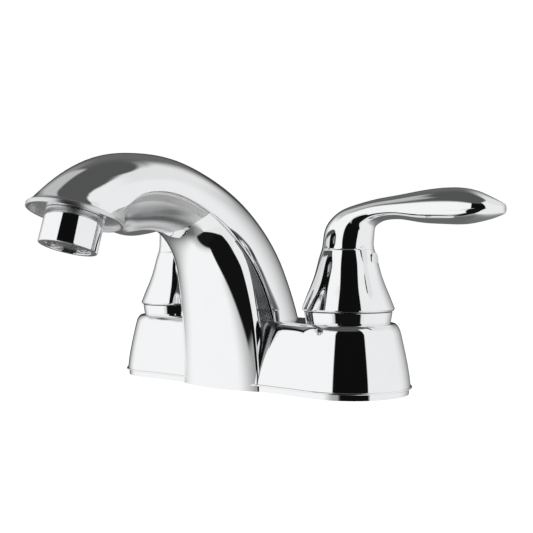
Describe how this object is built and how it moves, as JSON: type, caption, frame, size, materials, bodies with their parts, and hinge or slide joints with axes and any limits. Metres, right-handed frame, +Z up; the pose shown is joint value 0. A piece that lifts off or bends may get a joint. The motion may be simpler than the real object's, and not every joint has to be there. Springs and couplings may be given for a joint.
{
  "type": "centerset bathroom faucet",
  "caption": "Chrome centerset bathroom faucet with a high arched spout, a round aerator and a lever handle on each side of one cast base, with shanks and nuts for a sink deck.",
  "frame": {"origin": "on the deck face, midway between the two inlet shanks", "axes": "+Z up, away from the deck; +X from the middle to the cold valve on the right, seen from the front; -Y towards the front, along which the spout reaches"},
  "size_m": [0.2308, 0.1451, 0.147],
  "materials": {
    "chrome_plate": "polished chrome plate",
    "brass_body": "machined brass",
    "copper_tube": "drawn copper tube",
    "dark_plastic": "moulded black plastic",
    "light_plastic": "moulded white plastic",
    "seal_rubber": "moulded rubber",
    "ceramic": "lapped ceramic",
    "steel": "plain stainless steel"
  },
  "bodies": {
    "faucet": {"faucet_body": "chrome_plate", "deck_plate": "dark_plastic", "mixing_tee": "brass_body", "spout_tube": "copper_tube", "outlet_elbow": "brass_body", "aerator_housing": "chrome_plate", "aerator_screen": "steel", "flow_insert": "light_plastic", "aerator_washer": "seal_rubber", "cold_crossover_tube": "copper_tube", "hot_crossover_tube": "copper_tube", "cold_valve_body": "brass_body", "hot_valve_body": "brass_body", "cold_mounting_nut": "dark_plastic", "hot_mounting_nut": "dark_plastic", "cold_cartridge_housing": "brass_body", "hot_cartridge_housing": "brass_body", "cold_seat_seal": "seal_rubber", "hot_seat_seal": "seal_rubber", "cold_fixed_disc": "ceramic", "hot_fixed_disc": "ceramic", "cold_bonnet_nut": "brass_body", "hot_bonnet_nut": "brass_body", "cold_collar": "chrome_plate", "hot_collar": "chrome_plate"},
    "cold_lever": {"cold_handle": "chrome_plate", "cold_handle_insert": "light_plastic", "cold_set_screw": "steel", "cold_screw_cap": "chrome_plate", "cold_stem": "brass_body", "cold_stem_rings": "seal_rubber", "cold_moving_disc": "ceramic"},
    "hot_lever": {"hot_handle": "chrome_plate", "hot_handle_insert": "light_plastic", "hot_set_screw": "steel", "hot_screw_cap": "chrome_plate", "hot_stem": "brass_body", "hot_stem_rings": "seal_rubber", "hot_moving_disc": "ceramic"}
  },
  "joints": [
    {"name": "cold_handle_turn", "type": "hinge", "parent": "faucet", "child": "cold_lever", "pos_m": [0.0508, 0, 0.05], "axis": [0, 0, 1], "range_deg": [-90, 0]},
    {"name": "hot_handle_turn", "type": "hinge", "parent": "faucet", "child": "hot_lever", "pos_m": [-0.0508, 0, 0.05], "axis": [0, 0, 1], "range_deg": [0, 90]}
  ]
}
